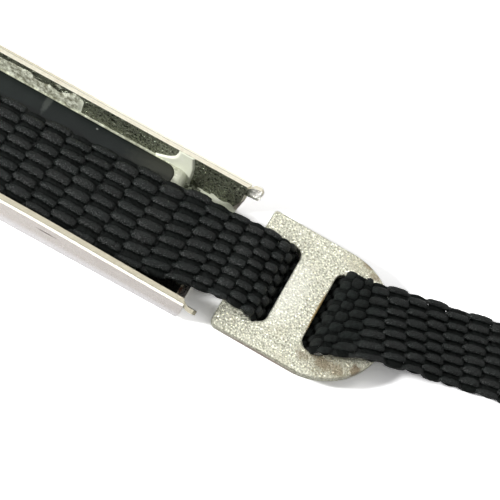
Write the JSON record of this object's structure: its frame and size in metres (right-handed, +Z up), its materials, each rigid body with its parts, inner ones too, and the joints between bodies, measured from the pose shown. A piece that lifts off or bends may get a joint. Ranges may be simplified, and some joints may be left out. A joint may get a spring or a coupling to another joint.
{
  "type": "slider buckle",
  "caption": "Open metal channel bar with a bonded pad and a pinned woven strap threaded through a D-shaped two-slot slide plate that adjusts along it.",
  "frame": {"origin": "middle of the channel bar's flat underside", "axes": "+X along the bar towards the slide plate, +Y across it, +Z up out of the bar's open side"},
  "size_m": [0.136, 0.0301, 0.0056],
  "materials": {
    "bright_nickel": "smooth bright nickel plating",
    "tray_nickel": "dull mottled nickel, unpolished inside",
    "slate_pad": "smooth satin slate",
    "cured_adhesive": "cured, slightly glossy, pale green-white",
    "pin_steel": "plain turned steel",
    "black_webbing": "coarse woven polyester",
    "sewing_thread": "twisted polyester thread",
    "grained_nickel": "fine sandy grain under nickel plating, slightly tarnished"
  },
  "bodies": {
    "channel_bar": {"outer_cover": "bright_nickel", "inner_tray": "tray_nickel", "pad": "slate_pad", "adhesive": "cured_adhesive", "cross_pin": "pin_steel"},
    "webbing": {"webbing_loop": "black_webbing", "webbing_run": "black_webbing", "webbing_tail": "black_webbing", "bar_tack_stitching": "sewing_thread"},
    "slide": {"slide_plate": "grained_nickel", "webbing_threaded": "black_webbing"}
  },
  "joints": [
    {"name": "webbing_swing", "type": "hinge", "parent": "channel_bar", "child": "webbing", "pos_m": [-0.026, 0, 0.00339], "axis": [0, -1, 0], "range_deg": [0, 150]},
    {"name": "slide_travel", "type": "slide", "parent": "webbing", "child": "slide", "axis": [1, 0, 0], "range_m": [-0.0014, 0.02], "deforming": ["webbing_run", "webbing_tail"]}
  ]
}
